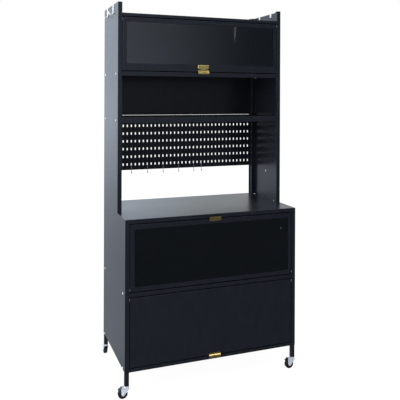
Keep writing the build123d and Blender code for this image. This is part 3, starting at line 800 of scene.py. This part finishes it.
@dataclass
class Pegboard:
    """The slotted sheet with round-ended slots, and the wire hooks in its bottom row."""

    shop: Shop
    columns: int = 37
    rows: int = 6
    pitch_x: float = 0.0204
    pitch_z: float = 0.0381
    slot_width: float = 0.006
    slot_height: float = 0.0125
    overlap: float = 0.014
    arc_steps: int = 8
    wire_radius: float = 0.0015
    wire_bend: float = 0.004
    wire_rise: float = 0.009
    wire_drop: float = 0.040
    wire_curl: float = 0.009
    wire_tip: float = 0.008
    hook_columns: tuple[int, ...] = (5, 9, 13, 17, 21, 23)
    low: Vector = field(default_factory=lambda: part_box("pegboard")[0])
    high: Vector = field(default_factory=lambda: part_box("pegboard")[1])

    @property
    def middle_z(self) -> float:
        """Height of the middle of the slots."""
        return (self.low.z + self.high.z - self.overlap) / 2

    def _cell(self) -> list[tuple[Flat, Flat]]:
        """Pairs of points, on the slot's edge and on its cell's edge.

        Returns:
            The pairs, in order round the slot.
        """
        radius = self.slot_width / 2
        straight = self.slot_height / 2 - radius
        wide, tall = self.pitch_x / 2, self.pitch_z / 2
        quarter = self.arc_steps // 4
        pairs = []
        for half in (1, -1):
            for step in range(self.arc_steps + 1):
                angle = math.pi * step / self.arc_steps
                inner = (half * radius * math.cos(angle), half * (straight + radius * math.sin(angle)))
                if quarter <= step <= self.arc_steps - quarter:
                    share = 1 - (step - quarter) / (self.arc_steps / 2 - quarter)
                    outer = (half * wide * share, half * tall)
                else:
                    near = step if step < quarter else self.arc_steps - step
                    side = 1 if step < quarter else -1
                    outer = (half * side * wide, half * (straight + (tall - straight) * near / quarter))
                pairs.append((inner, outer))
        return pairs

    def sheet(self) -> Solid:
        """Build the sheet with all its slots.

        Returns:
            The sheet as a closed solid.
        """
        mesh = bmesh.new()
        pairs = self._cell()
        face_y = self.low.y
        edge_x = self.columns * self.pitch_x / 2
        edge_z = self.rows * self.pitch_z / 2
        for column in range(self.columns):
            for row in range(self.rows):
                x = (column - (self.columns - 1) / 2) * self.pitch_x
                z = self.middle_z + (row - (self.rows - 1) / 2) * self.pitch_z
                inner = [mesh.verts.new((x + p[0], face_y, z + p[1])) for p, _ in pairs]
                outer = [mesh.verts.new((x + q[0], face_y, z + q[1])) for _, q in pairs]
                bridge(mesh, inner, outer)
        bmesh.ops.remove_doubles(mesh, verts=mesh.verts, dist=SHEET_WELD)
        rim = []
        for edge in (edge for edge in mesh.edges if edge.is_boundary):
            middle = (edge.verts[0].co + edge.verts[1].co) / 2
            past = max(abs(middle.x) - edge_x, abs(middle.z - self.middle_z) - edge_z)
            if past > -SHEET_WELD:
                rim.append(edge)
        grown = bmesh.ops.extrude_edge_only(mesh, edges=rim)["geom"]
        for vert in (item for item in grown if isinstance(item, bmesh.types.BMVert)):
            if abs(abs(vert.co.x) - edge_x) < SHEET_WELD:
                vert.co.x = math.copysign(self.high.x, vert.co.x)
            if abs(abs(vert.co.z - self.middle_z) - edge_z) < SHEET_WELD:
                vert.co.z = self.high.z if vert.co.z > self.middle_z else self.low.z
        back = bmesh.ops.extrude_face_region(mesh, geom=list(mesh.faces))["geom"]
        for vert in (item for item in back if isinstance(item, bmesh.types.BMVert)):
            vert.co.y = self.high.y
        return mesh

    def hooks(self) -> Solid:
        """Build the wire hooks.

        Returns:
            All the hooks.
        """
        bottom_row = self.middle_z - self.pitch_z * (self.rows - 1) / 2
        level = bottom_row - self.slot_height / 2 + self.wire_radius
        back = self.high.y + self.wire_bend
        face = self.low.y - self.wire_bend
        bent = []
        for column in self.hook_columns:
            x = (column - (self.columns - 1) / 2) * self.pitch_x
            corners = (
                (x, back, level + self.wire_rise),
                (x, back, level),
                (x, face, level),
                (x, face, level - self.wire_drop),
                (x, face - self.wire_curl, level - self.wire_drop),
                (x, face - self.wire_curl, level - self.wire_drop + self.wire_tip),
            )
            bent.append(wire(rounded_path(corners, self.wire_bend), self.wire_radius))
        return gather(bent)

    def dress(self) -> None:
        """Put the sheet and its hooks in place."""
        self.shop.piece("slotted_sheet", self.sheet(), Slot.BLACK_STEEL, "cabinet", ["pegboard"])
        self.shop.piece("wire_hooks", self.hooks(), Slot.CHROME_WIRE, "cabinet", ["pegboard_hooks"])


@dataclass
class SideHooks:
    """Flat strip hooks bent over the top edges of the hutch sides."""

    shop: Shop
    strip: float = 0.002
    width: float = 0.016
    panel: float = 0.001
    inner_leg: float = 0.018
    drop: float = 0.045
    reach: float = 0.022
    tip: float = 0.003
    places: Flat = (0.100, 0.222)
    bend_share: float = 0.45
    bend_steps: int = 5
    steps: int = 20
    round_edge: float = 0.00045

    def outline(self, peak: float, face: float, sign: float) -> list[Flat]:
        """Side view of one hook.

        Args:
            peak: Height of the panel's top edge.
            face: Distance of the panel's outer face from the middle.
            sign: 1 on the right side, -1 on the left.

        Returns:
            The outline in X and Z.
        """
        radius = self.reach / 2
        turn = peak - self.drop + radius
        inside = face - self.panel
        over = ((inside, peak - self.inner_leg), (inside, peak), (face, peak), (face, turn))
        line = rounded_path(over, self.panel * self.bend_share, self.bend_steps)[:-1]
        bow = arc((face + radius, turn), (radius, radius), math.pi, math.pi, self.steps)
        line += [Vector(point).to_3d() for point in bow]
        line.append(Vector((face + self.reach, turn + self.tip, 0.0)))
        return sided(strip_outline(line, self.strip), sign)

    def dress(self) -> None:
        """Hang the hooks on both sides."""
        low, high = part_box("hutch_side_right")
        upright = Matrix.Rotation(math.pi / 2, 4, "X")
        hooks = []
        for sign in SIDES:
            for place in self.places:
                plane = Matrix.Translation((0.0, low.y + place, 0.0)) @ upright
                hooks.append(prism(self.outline(high.z, high.x, sign), plane, self.width))
        strips = gather(hooks)
        self.shop.piece("strip_hooks", strips, Slot.BRIGHT_STRIP, "cabinet", ["side_hooks"], self.round_edge)


@dataclass
class RearFolds:
    """Box folds that stiffen the rear edges of the hutch sides."""

    shop: Shop
    sheet: float = 0.001
    width: float = 0.018
    depth: float = 0.021
    radius: float = 0.0013

    def dress(self) -> None:
        """Put a fold in the rear corner of each side."""
        low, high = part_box("hutch_side_right")
        wall, rear = high.x - self.sheet, high.y - self.sheet
        inner, fore = wall - self.width, rear - self.depth
        corners = ((inner, rear), (inner, fore), (wall, fore))
        outline = strip_outline(rounded_path(corners, self.radius), self.sheet)
        level = Matrix.Translation((0.0, 0.0, (low.z + high.z) / 2))
        height = high.z - low.z - 2 * self.sheet
        folds = [prism(sided(outline, sign), level, height) for sign in SIDES]
        self.shop.piece("rear_folds", gather(folds), Slot.BLACK_STEEL, "cabinet")


@dataclass
class Pulls:
    """Folded strip pulls on the free edges of the doors."""

    shop: Shop
    strip: float = 0.0016
    foot: float = 0.009
    step: float = 0.0055
    overhang: float = 0.010
    bend: float = 0.0015
    radius: float = 0.0016
    round_edge: float = 0.0003
    free_edges: tuple[tuple[str, str, int], ...] = (
        ("hutch_door", "hutch_door_frame", -1),
        ("upper_door", "upper_door_frame", 1),
        ("lower_door", "lower_door_panel", -1),
    )

    def dress(self) -> None:
        """Put a pull on each door."""
        upright = Matrix(((0, 0, 1, 0), (1, 0, 0, 0), (0, 1, 0, 0), (0, 0, 0, 1)))
        for body, tray, free in self.free_edges:
            low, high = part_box(tray)
            edge = high.z if free > 0 else low.z
            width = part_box(f"{body}_pull")[1].x * 2
            corners = (
                (low.y, edge - free * self.foot),
                (low.y, edge - free * self.bend),
                (low.y - self.step, edge + free * self.bend),
                (low.y - self.step, edge + free * self.overhang),
            )
            outline = strip_outline(rounded_path(corners, self.radius), free * self.strip)
            grip = prism(outline, upright, width)
            self.shop.piece(f"{body}_grip", grip, Slot.GOLD_METAL, body, [f"{body}_pull"], self.round_edge)


@dataclass
class Fasteners:
    """Cross-recess screws in the hutch feet, the back sheets and the ends of the shelves."""

    shop: Shop
    head_radius: float = 0.0045
    head_height: float = 0.0024
    crown: float = 0.62
    rim: float = 0.35
    dome_steps: int = 6
    sides: int = 28
    shank_radius: float = 0.0025
    shank_length: float = 0.009
    recess_width: float = 0.0011
    recess_length: float = 0.0050
    recess_depth: float = 0.0013
    inset_x: float = 0.010
    foot_inset: float = 0.040
    back_inset: float = 0.020
    shelf_inset: float = 0.036
    turn: float = 37.0
    shelves: tuple[str, ...] = ("base_floor", "base_mid_shelf", "hutch_upper_shelf", "hutch_lower_shelf")

    def head(self) -> bpy.types.Mesh:
        """Build one screw standing on the XY plane.

        Returns:
            Mesh data of the screw, head up.
        """
        middle = (self.head_radius * self.crown, self.head_height * self.rim)
        reach = (self.head_radius - middle[0], self.head_height - middle[1])
        shank, foot = self.shank_radius, -self.shank_length
        profile = [(0.0, foot), (shank, foot), (shank, 0.0), (self.head_radius, 0.0)]
        profile += [*arc(middle, reach, 0.0, math.pi / 2, self.dome_steps), (0.0, self.head_height)]
        body = lathe(profile, Matrix.Identity(4), self.sides)
        slit = (self.recess_width, self.recess_length)
        cutters = []
        for wide, long in (slit, slit[::-1]):
            low = Vector((-wide / 2, -long / 2, self.head_height - self.recess_depth))
            high = Vector((wide / 2, long / 2, self.head_height * 2))
            cutters.append(block(low, high))
        return cut(body, cutters)

    def places(self) -> list[Matrix]:
        """Where the screws sit.

        Returns:
            A matrix for each screw, its Z axis pointing out of the head.
        """
        base_low, base_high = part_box("base_back_panel")
        hutch_low, hutch_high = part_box("hutch_back_panel")
        peg_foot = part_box("pegboard")[0].z
        side_low, side_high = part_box("hutch_side_right")
        shelf_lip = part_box("hutch_lower_shelf")[0].z
        across = side_high.x - self.inset_x
        levels = (
            base_low.z + self.back_inset,
            (base_low.z + base_high.z) / 2,
            base_high.z - self.back_inset,
            peg_foot + self.back_inset,
            shelf_lip - self.back_inset,
            hutch_low.z + self.back_inset,
            hutch_high.z - self.back_inset,
        )
        sheet = base_high.y - base_low.y
        flange = side_high.y - sheet
        spots = []
        backward = Matrix.Rotation(-math.pi / 2, 4, "X")
        for sign in SIDES:
            for y in (side_low.y + self.foot_inset, flange - self.foot_inset):
                spots.append(Matrix.Translation((sign * across, y, side_low.z + sheet)))
            for z in levels:
                spots.append(Matrix.Translation((sign * across, base_high.y, z)) @ backward)
            outward = Matrix.Rotation(sign * math.pi / 2, 4, "Y")
            for low, high in (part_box(shelf) for shelf in self.shelves):
                for y in (low.y + self.shelf_inset, high.y - self.shelf_inset):
                    spot = Matrix.Translation((sign * side_high.x, y, (low.z + high.z) / 2))
                    spots.append(spot @ outward)
        return spots

    def dress(self) -> None:
        """Drive every screw, each turned a little differently."""
        data = self.head()
        screws = []
        for index, spot in enumerate(self.places()):
            one = bmesh.new()
            one.from_mesh(data)
            one.transform(spot @ Matrix.Rotation(math.radians(self.turn * index), 4, "Z"))
            screws.append(one)
        self.shop.piece("cross_screws", gather(screws), Slot.ZINC_STEEL, "cabinet", ["assembly_screws"])


@dataclass
class Caster:
    """Wheel, axle heads and brake pedal of one caster."""

    shop: Shop
    corner: Corner
    tread_depth: float = 0.006
    shoulder: float = 0.003
    shoulder_steps: int = 6
    groove: float = 0.0006
    groove_place: float = 0.0022
    tyre_sides: int = 72
    hub_radius: float = 0.0065
    hub_sides: int = 60
    web_recess: float = 0.003
    slope: float = 0.0006
    bore: float = 0.0031
    spokes: int = 6
    spoke_width: float = 0.0018
    play: float = 0.0001
    head_radius: float = 0.0045
    head_height: float = 0.0015
    head_rim: float = 0.3
    head_steps: int = 5
    head_sides: int = 32
    pedal_hub: float = 0.0024
    pedal_tip: float = 0.001
    pedal_reach: float = 0.0125
    pedal_fall: float = 0.006
    pedal_pin: float = 0.0015
    pedal_width: float = 0.017
    pedal_span: float = 0.011
    pedal_rib: float = 0.0005
    pedal_ribs: int = 5
    rib_share: float = 0.86
    arc_steps: int = 12
    pin_sides: int = 24
    round_edge: float = 0.0003

    @property
    def name(self) -> str:
        """Corner's name as the nodes spell it."""
        return self.corner.value

    def wheel(self) -> tuple[Matrix, float, float]:
        """Measure the wheel.

        Returns:
            Matrix at its middle whose Z axis is the axle, its radius and half its width.
        """
        low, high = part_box(f"wheel_{self.name}")
        size = high - low
        turn = Matrix.Rotation(math.pi / 2, 4, "X" if size.y < size.x else "Y")
        return Matrix.Translation((low + high) / 2) @ turn, size.z / 2, min(size.x, size.y) / 2

    def tyre(self) -> Solid:
        """Build the tread ring with rounded shoulders and two fine grooves.

        Returns:
            The ring.
        """
        plane, radius, half = self.wheel()
        bend = (radius - self.shoulder, self.shoulder - half)
        reach = (self.shoulder, self.shoulder)
        shoulder = arc(bend, reach, -math.pi / 2, math.pi / 2, self.shoulder_steps)
        floor, tread = radius - self.groove, list(shoulder)
        for middle in (-self.groove_place, self.groove_place):
            tread += [(radius, middle - self.groove), (floor, middle - self.groove / 2)]
            tread += [(floor, middle + self.groove / 2), (radius, middle + self.groove)]
        inner = radius - self.tread_depth
        profile = [(inner, -half), *tread, *turned_over(shoulder), (inner, half)]
        return lathe(profile, plane, self.tyre_sides)

    def hub(self) -> Solid:
        """Build the hub, its dished web and its spokes.

        Returns:
            The hub.
        """
        plane, radius, half = self.wheel()
        rim = radius - self.tread_depth
        web = half - self.web_recess
        hub, slope = self.hub_radius, self.slope
        side = [(hub - slope, half), (hub, half - slope), (hub, web)]
        side += [(rim - 2 * slope, web), (rim, web + slope)]
        profile = [(self.bore, half), *side, *turned_over(side), (self.bore, -half)]
        parts = [lathe(profile, plane, self.hub_sides)]
        for face in SIDES:
            low, high = sorted((face * (web - slope), face * (half - self.web_recess / 2)))
            for index in range(self.spokes):
                near = Vector((hub - slope, -self.spoke_width / 2, low))
                spoke = block(near, Vector((rim - slope, self.spoke_width / 2, high)))
                spoke.transform(plane @ Matrix.Rotation(2 * math.pi * index / self.spokes, 4, "Z"))
                parts.append(spoke)
        return gather(parts)

    def axle(self) -> Solid:
        """Build the axle with its two domed rivet heads.

        Returns:
            The axle.
        """
        low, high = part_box(f"axle_{self.name}")
        shaft = max(high.x - low.x, high.y - low.y) / 2 - self.head_height
        rim = self.head_height * self.head_rim
        reach = (self.head_radius, self.head_height - rim)
        dome = arc((0.0, shaft + rim), reach, 0.0, math.pi / 2, self.head_steps)
        side = [(self.bore - self.play, shaft), (self.head_radius, shaft), *dome]
        return lathe(turned_over(side) + side, self.wheel()[0], self.head_sides)

    def pedal(self) -> Solid:
        """Build the brake pedal, its pin and the ribs on top of it.

        Returns:
            The pedal.
        """
        pivot = self.shop.joints[f"brake_{self.name}_lift"]
        away = self.shop.joints[f"wheel_{self.name}_spin"] - self.shop.joints[f"swivel_{self.name}_turn"]
        away.z = 0.0
        away.normalize()
        side = away.cross(Vector((0.0, 0.0, 1.0)))
        plane = Matrix.Translation(pivot) @ Matrix((away, (0.0, 0.0, 1.0), side)).transposed().to_4x4()
        tip = Vector((self.pedal_reach, -self.pedal_fall, 0.0))
        lean = math.asin((self.pedal_hub - self.pedal_tip) / tip.length)
        slope = math.atan2(tip.y, tip.x)
        below, above = slope - math.pi / 2 + lean, slope + math.pi / 2 - lean
        small, large = (self.pedal_tip, self.pedal_tip), (self.pedal_hub, self.pedal_hub)
        outline = arc(tip.xy, small, below, math.pi - 2 * lean, self.arc_steps)
        outline += arc((0.0, 0.0), large, above, math.pi + 2 * lean, self.arc_steps)
        pin, span = self.pedal_pin, self.pedal_span
        rod = [(0.0, -span), (pin, -span), (pin, span), (0.0, span)]
        parts = [prism(outline, plane, self.pedal_width), lathe(rod, plane, self.pin_sides)]
        up = Vector((-math.sin(slope - lean), math.cos(slope - lean), 0.0))
        near, far = up * self.pedal_hub, tip + up * self.pedal_tip
        reach = (self.pedal_rib, self.pedal_rib)
        for index in range(self.pedal_ribs):
            middle = near.lerp(far, (index + 1.0) / (self.pedal_ribs + 0.5))
            ring = arc(middle.xy, reach, 0.0, 2 * math.pi, self.arc_steps)[:-1]
            parts.append(prism(ring, plane, self.pedal_width * self.rib_share))
        return gather(parts)

    def dress(self) -> None:
        """Put the wheel, axle and pedal of this corner in place."""
        name = self.name
        roller, wheel = f"roller_{name}", [f"wheel_{name}"]
        self.shop.piece(f"tyre_{name}", self.tyre(), Slot.BLACK_WHEEL, roller, wheel)
        self.shop.piece(f"hub_{name}", self.hub(), Slot.BLACK_PLASTIC, roller, wheel)
        self.shop.piece(f"rivet_{name}", self.axle(), Slot.ZINC_STEEL, f"swivel_{name}", [f"axle_{name}"])
        shoe, lever = f"pedal_shoe_{name}", self.pedal()
        body, brake = f"pedal_{name}", [f"brake_{name}"]
        self.shop.piece(shoe, lever, Slot.BLACK_PLASTIC, body, brake, self.round_edge)


@dataclass
class Catches:
    """Magnetic catches by the free edges of the doors: moulded housings with steel pole plates."""

    shop: Shop
    length: float = 0.042
    depth: float = 0.014
    cover: float = 0.016
    air: float = 0.0003
    place: float = 0.250
    sheet: float = 0.001
    proud: float = 0.001
    plate: float = 0.0013
    plate_length: float = 0.034
    plate_spread: float = 0.0035
    round_edge: float = 0.0008
    plate_edge: float = 0.0002

    def spots(self) -> list[tuple[float, float, float]]:
        """Front plane, lowest and highest level of the catches of each door.

        Returns:
            One entry to each door.
        """
        trays = ("hutch_door_frame", "upper_door_frame", "lower_door_panel")
        hutch, upper, lower = (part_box(tray) for tray in trays)
        return [
            (hutch[1].y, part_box("hutch_upper_shelf")[1].z, hutch[0].z + self.cover),
            (upper[1].y, upper[1].z - self.cover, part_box("worktop")[1].z - self.sheet),
            (lower[1].y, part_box("base_floor")[1].z, lower[0].z + self.cover),
        ]

    def dress(self) -> None:
        """Put the six catches in place."""
        housings, plates = [], []
        for door_back, low, high in self.spots():
            front = door_back + self.air
            level = (low + high) / 2
            for x in (-self.place, self.place):
                near = Vector((x - self.length / 2, front + self.proud, low))
                far = Vector((x + self.length / 2, front + self.depth, high))
                housings.append(block(near, far))
                for z in (level - self.plate_spread, level + self.plate_spread):
                    near = Vector((x - self.plate_length / 2, front, z - self.plate / 2))
                    far = Vector((x + self.plate_length / 2, front + self.depth / 2, z + self.plate / 2))
                    plates.append(block(near, far))
        old = ["door_magnets"]
        boxes, poles = gather(housings), gather(plates)
        self.shop.piece("catch_housings", boxes, Slot.BLACK_PLASTIC, "cabinet", old, self.round_edge)
        self.shop.piece("catch_plates", poles, Slot.ZINC_STEEL, "cabinet", old, self.plate_edge)


@dataclass
class Lamp:
    """One soft area lamp."""

    name: str
    place: Triple
    aim: Triple
    size: Flat
    power: float

    def light(self) -> None:
        """Hang the lamp and turn it to its aim."""
        data = bpy.data.lights.new(self.name, "AREA")
        data.shape = "RECTANGLE"
        data.size, data.size_y = self.size
        data.energy = self.power
        obj = add_object(self.name, data)
        obj.location = self.place
        beam = Vector(self.aim) - Vector(self.place)
        obj.rotation_euler = beam.to_track_quat("-Z", "Y").to_euler()
        obj.visible_camera = False


@dataclass
class Studio:
    """White sweep, soft lamps and the camera at the photograph's place."""

    camera_place: Triple = (-0.9488, -2.5600, 1.2491)
    camera_yaw: float = 20.637
    camera_roll: float = 0.22
    focal_pixels: float = 574.7
    frame_pixels: float = 400.0
    axis_row: float = 96.62
    sensor: float = 36.0
    view_end: float = 100.0
    floor_size: float = 30.0
    floor_white: Colour = (0.86, 0.86, 0.86)
    floor_glow: float = 1.1
    floor_lit: float = 0.88
    floor_near: Flat = (-0.6, 0.4)
    floor_far: Flat = (0.2, 10.0)
    fill: Colour = (0.50, 0.53, 0.58)
    back_bright: Colour = (1.18, 1.33, 1.54)
    back_dull: Colour = (0.82, 0.87, 0.88)
    front_bright: Colour = (0.60, 0.66, 0.76)
    front_dull: Colour = (0.115, 0.137, 0.170)
    front_tube: Colour = (1.15, 1.2, 1.3)
    floor_behind: Colour = (0.45, 0.49, 0.56)
    floor_beyond: Colour = (1.00, 1.10, 1.25)
    floor_before: Colour = (0.080, 0.096, 0.118)
    behind: Flat = (-0.2, 0.3)
    back_turn: Flat = (0.2, 0.38)
    screen_left: Flat = (-0.25, 0.05)
    screen_right: Flat = (0.2, 0.46)
    screen_top: Flat = (0.25, 0.6)
    tube_left: Flat = (0.4040, 0.4055)
    tube_right: Flat = (0.4060, 0.4075)
    tube_foot: Flat = (0.092, 0.104)
    tube_top: Flat = (0.128, 0.145)
    lamps: tuple[Lamp, ...] = (
        Lamp("front_softbox", (-2.4, -3.0, 3.2), (0.0, 0.0, 0.8), (2.4, 2.4), 10.0),
        Lamp("side_softbox", (-2.5, -1.1, 1.5), (0.3, 0.0, 1.2), (1.2, 1.2), 50.0),
        Lamp("top_softbox", (0.4, 0.2, 4.2), (0.0, 0.0, 0.5), (3.0, 3.0), 110.0),
    )

    def camera(self) -> None:
        """Set up the camera."""
        data = bpy.data.cameras.new("camera")
        data.sensor_width = self.sensor
        data.lens = self.focal_pixels / self.frame_pixels * self.sensor
        data.shift_y = (self.axis_row - self.frame_pixels / 2) / self.frame_pixels
        data.clip_end = self.view_end
        obj = add_object("camera", data)
        yaw = Matrix.Rotation(math.radians(-self.camera_yaw), 4, "Z")
        level = Matrix.Rotation(math.pi / 2, 4, "X")
        roll = Matrix.Rotation(math.radians(self.camera_roll), 4, "Z")
        obj.matrix_world = Matrix.Translation(self.camera_place) @ yaw @ level @ roll
        bpy.context.scene.camera = obj

    def world(self) -> None:
        """White to the camera and through glass, a room of cool greys in reflections, and a plain fill."""
        world = bpy.data.worlds.new("studio")
        world.use_nodes = True
        graph = Graph(world.node_tree)
        through = graph.ray("Is Transmission Ray")
        shiny = graph.ray("Glossy Depth").clamp()
        scattered = graph.ray("Diffuse Depth").clamp()
        seen = graph.ray("Is Camera Ray") + through * (1 - (shiny + scattered).clamp())
        mirrored = graph.ray("Is Glossy Ray") * (1 - through) + through * shiny
        way = graph.field("ShaderNodeTexCoord", output="Generated")
        across, along, up = (graph.axis(way, name) for name in "XYZ")
        back = graph.mix(across.over(*self.back_turn), self.back_bright, self.back_dull)
        screen = across.between(self.screen_left, self.screen_right) * (1 - up.over(*self.screen_top))
        tube = across.between(self.tube_left, self.tube_right) * up.between(self.tube_foot, self.tube_top)
        room = graph.mix(screen, self.front_dull, self.front_bright)
        front = graph.mix(tube, room, self.front_tube)
        plain = graph.mix(seen.clamp(), self.fill, WHITE)
        round_about = graph.mix(along.over(*self.behind), front, back)
        colour = graph.mix(mirrored.clamp(), plain, round_about)
        ground = graph.field("ShaderNodeBackground", None, {"Color": colour, "Strength": 1.0})
        graph.node("ShaderNodeOutputWorld", None, {"Surface": ground})
        bpy.context.scene.world = world

    def floor(self) -> None:
        """Lay a pale floor that keeps a soft shadow and looks dim in reflections."""
        mesh = bmesh.new()
        bmesh.ops.create_grid(mesh, x_segments=1, y_segments=1, size=self.floor_size / 2)
        data = mesh_data("floor", mesh)
        obj = add_object("floor", data)
        material = bpy.data.materials.new("pale_floor")
        material.use_nodes = True
        graph = Graph(material.node_tree)
        matte = graph.field("ShaderNodeBsdfDiffuse", None, {"Color": (*self.floor_white, 1.0)})
        bright = {"Color": (*WHITE, 1.0), "Strength": self.floor_glow}
        glow = graph.field("ShaderNodeEmission", None, bright)
        lit = self.floor_lit * graph.ray("Is Camera Ray")
        shown = graph.field("ShaderNodeMixShader", None, {0: lit, 1: matte, 2: glow})
        depth = graph.axis(graph.place(), "Y")
        rear = graph.mix(depth.over(*self.floor_far), self.floor_behind, self.floor_beyond)
        colour = graph.mix(depth.over(*self.floor_near), self.floor_before, rear)
        dim = graph.field("ShaderNodeEmission", None, {"Color": colour, "Strength": 1.0})
        mirrored = graph.ray("Is Glossy Ray")
        surface = graph.field("ShaderNodeMixShader", None, {0: mirrored, 1: shown, 2: dim})
        graph.node("ShaderNodeOutputMaterial", None, {"Surface": surface})
        data.materials.append(material)

    def build(self) -> None:
        """Build the whole studio."""
        self.camera()
        self.world()
        self.floor()
        for lamp in self.lamps:
            lamp.light()
        bpy.context.scene.view_settings.view_transform = "Standard"


def clear_start() -> None:
    """Take away whatever Blender opens with."""
    for obj in list(bpy.data.objects):
        bpy.data.objects.remove(obj)


def main() -> None:
    """Load the frame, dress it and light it."""
    logging.basicConfig(level=logging.INFO)
    clear_start()
    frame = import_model()
    shop = Shop(frame)
    kinds = (Pegboard, SideHooks, RearFolds, Pulls, Fasteners, Catches)
    for part in (*(kind(shop) for kind in kinds), *(Caster(shop, corner) for corner in Corner)):
        part.dress()
    Studio().build()


if __name__ == "__main__":
    main()
